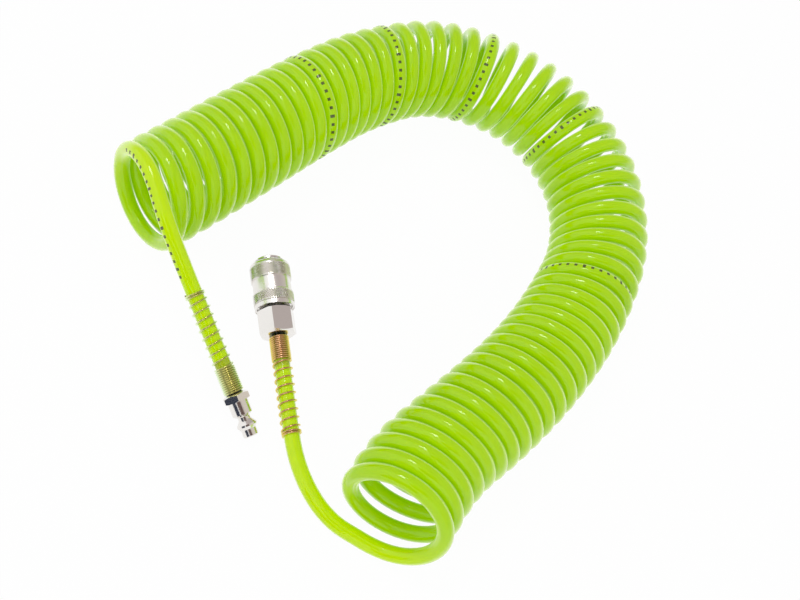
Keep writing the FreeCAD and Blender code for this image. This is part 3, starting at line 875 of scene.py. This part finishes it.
class AIRHOSE_OT_stage(bpy.types.Operator):
    """Set up the paper sweep, the lamps and the camera"""
    bl_idname = "air_hose.stage"
    bl_label = "Stage"

    def execute(self, context):
        stage = context.scene.air_hose_stage
        self.floor(stage)
        for lamp in LAMPS:
            self.lamp(*lamp)
        for name, place, size, colour in CARDS:
            self.card(name, place, size, getattr(stage, colour))
        world = bpy.data.worlds.new("white_studio")
        world.use_nodes = True
        world.node_tree.nodes.clear()
        self.studio(world.node_tree, stage)
        context.scene.world = world
        camera_data = bpy.data.cameras.new("photo_camera")
        camera_data.lens = stage.lens
        camera_data.sensor_width = 36.0
        camera_data.clip_start = 0.01
        camera = bpy.data.objects.new("photo_camera", camera_data)
        camera.rotation_mode = "ZYX"
        camera.location = stage.camera_place
        camera.rotation_euler = (stage.camera_tilt, 0, stage.camera_roll)
        context.scene.collection.objects.link(camera)
        context.scene.camera = camera
        context.scene.view_settings.view_transform = "Standard"
        return {"FINISHED"}

    def studio(self, tree, stage):
        """World that lights gently, is white behind the object, and mirrors as a white wall on the left and
        in front, and as a grey wall and ceiling behind and overhead that turn beige to the right."""
        rays = add(tree, "ShaderNodeLightPath")
        seen = add(tree, "ShaderNodeMath", {0: rays.outputs["Is Camera Ray"],
                                            1: rays.outputs["Is Transmission Ray"]}, operation="MAXIMUM")
        coordinates = add(tree, "ShaderNodeTexCoord")
        direction = add(tree, "ShaderNodeSeparateXYZ", {0: coordinates.outputs["Generated"]})
        rearward = add(tree, "ShaderNodeMath", {0: direction.outputs["X"], 1: REAR_WALL_SLANT,
                                                2: direction.outputs["Y"]}, operation="MULTIPLY_ADD")
        behind = add(tree, "ShaderNodeMapRange", {"Value": rearward.outputs[0], "From Min": REAR_WALL[0],
                                                  "From Max": REAR_WALL[1]})
        rightward = add(tree, "ShaderNodeMapRange", {"Value": direction.outputs["X"],
                                                     "From Min": RIGHT_WALL[0], "From Max": RIGHT_WALL[1]})
        wall = add(tree, "ShaderNodeMix", {"Factor": rightward.outputs["Result"], "A": stage.ceiling_colour,
                                           "B": stage.right_wall_colour}, data_type="RGBA")
        room = add(tree, "ShaderNodeMix", {"Factor": behind.outputs["Result"], "A": (1, 1, 1, 1),
                                           "B": wall.outputs["Result"]}, data_type="RGBA")
        soft = add(tree, "ShaderNodeBackground", {"Color": (1, 1, 1, 1), "Strength": stage.surroundings})
        mirrored = add(tree, "ShaderNodeBackground", {"Color": room.outputs["Result"], "Strength": 1.0})
        white = add(tree, "ShaderNodeBackground", {"Color": (1, 1, 1, 1), "Strength": 1.0})
        lit = add(tree, "ShaderNodeMixShader", {0: rays.outputs["Is Glossy Ray"], 1: soft.outputs[0],
                                                2: mirrored.outputs[0]})
        mixed = add(tree, "ShaderNodeMixShader", {0: seen.outputs[0], 1: lit.outputs[0],
                                                  2: white.outputs[0]})
        add(tree, "ShaderNodeOutputWorld", {"Surface": mixed.outputs[0]})

    def card(self, name, place, size, colour):
        """Card beside the camera that shows only as a reflection."""
        bpy.ops.object.select_all(action="DESELECT")
        bpy.ops.mesh.primitive_plane_add(size=1, location=place,
                                         rotation=(-Vector(place)).to_track_quat("Z", "Y").to_euler())
        card = bpy.context.object
        card.name = name
        card.scale = (*size, 1)
        bpy.ops.object.transform_apply(location=True, rotation=True, scale=True)
        card.visible_camera = False
        card.visible_diffuse = False
        card.visible_transmission = False
        card.visible_shadow = False
        material, tree = new_material(name)
        tone = add(tree, "ShaderNodeEmission", {"Color": colour, "Strength": 1.0})
        add(tree, "ShaderNodeOutputMaterial", {"Surface": tone.outputs[0]})
        clothe(card, material)

    def floor(self, stage):
        """Wide white sheet just under the hose that keeps a faint shadow."""
        bpy.ops.object.select_all(action="DESELECT")
        bpy.ops.mesh.primitive_plane_add(size=stage.floor_size, location=(0, 0, -stage.floor_drop))
        sheet = bpy.context.object
        sheet.name = "paper_sweep"
        material, tree = new_material("white_paper")
        rays = add(tree, "ShaderNodeLightPath")
        mirrored = add(tree, "ShaderNodeMath", {0: rays.outputs["Is Glossy Ray"],
                                                1: rays.outputs["Is Transmission Ray"]},
                       operation="MAXIMUM")
        seen = add(tree, "ShaderNodeMath", {0: rays.outputs["Is Camera Ray"], 1: mirrored.outputs[0]},
                   operation="MAXIMUM")
        share = add(tree, "ShaderNodeMath", {0: seen.outputs[0], 1: stage.paper_glow}, operation="MULTIPLY")
        paper = add(tree, "ShaderNodeBsdfDiffuse", {"Color": stage.floor_colour})
        glow = add(tree, "ShaderNodeEmission", {"Color": (1, 1, 1, 1), "Strength": 1.0})
        mixed = add(tree, "ShaderNodeMixShader", {0: share.outputs[0], 1: paper.outputs[0],
                                                  2: glow.outputs[0]})
        add(tree, "ShaderNodeOutputMaterial", {"Surface": mixed.outputs[0]})
        clothe(sheet, material)

    def lamp(self, name, place, size, power, mirrored):
        """Square soft lamp aimed at the hose, which may show as a highlight."""
        bpy.ops.object.light_add(type="AREA", location=place)
        lamp = bpy.context.object
        lamp.name = name
        lamp.data.size = size
        lamp.data.energy = power
        lamp.visible_camera = False
        lamp.visible_glossy = mirrored
        lamp.rotation_euler = (-Vector(place)).to_track_quat("-Z", "Y").to_euler()


class AIRHOSE_PT_panel(bpy.types.Panel):
    """Buttons and sizes of the coiled air hose"""
    bl_idname = "AIRHOSE_PT_panel"
    bl_label = "Coiled air hose"
    bl_space_type = "VIEW_3D"
    bl_region_type = "UI"
    bl_category = "Air hose"

    def draw(self, context):
        for operator in OPERATORS:
            self.layout.operator(operator.bl_idname)
        for name, group in SETTINGS.items():
            box = self.layout.box()
            box.label(text=group.__doc__)
            for setting in group.__annotations__:
                box.prop(getattr(context.scene, name), setting)


OPERATORS = [AIRHOSE_OT_hose, AIRHOSE_OT_guards, AIRHOSE_OT_sleeve, AIRHOSE_OT_springs, AIRHOSE_OT_fittings,
             AIRHOSE_OT_cord, AIRHOSE_OT_stage]
CLASSES = [*SETTINGS.values(), *OPERATORS, AIRHOSE_PT_panel]


def register():
    for group in CLASSES:
        bpy.utils.register_class(group)
    for name, group in SETTINGS.items():
        setattr(bpy.types.Scene, name, bpy.props.PointerProperty(type=group))


def unregister():
    for name in SETTINGS:
        delattr(bpy.types.Scene, name)
    for group in reversed(CLASSES):
        bpy.utils.unregister_class(group)


def main():
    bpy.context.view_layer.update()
    register()
    bpy.ops.air_hose.stage()
    bpy.ops.air_hose.hose()
    bpy.ops.air_hose.guards()
    bpy.ops.air_hose.sleeve()
    bpy.ops.air_hose.springs()
    bpy.ops.air_hose.fittings()
    bpy.ops.air_hose.cord()


if __name__ == "__main__":
    main()
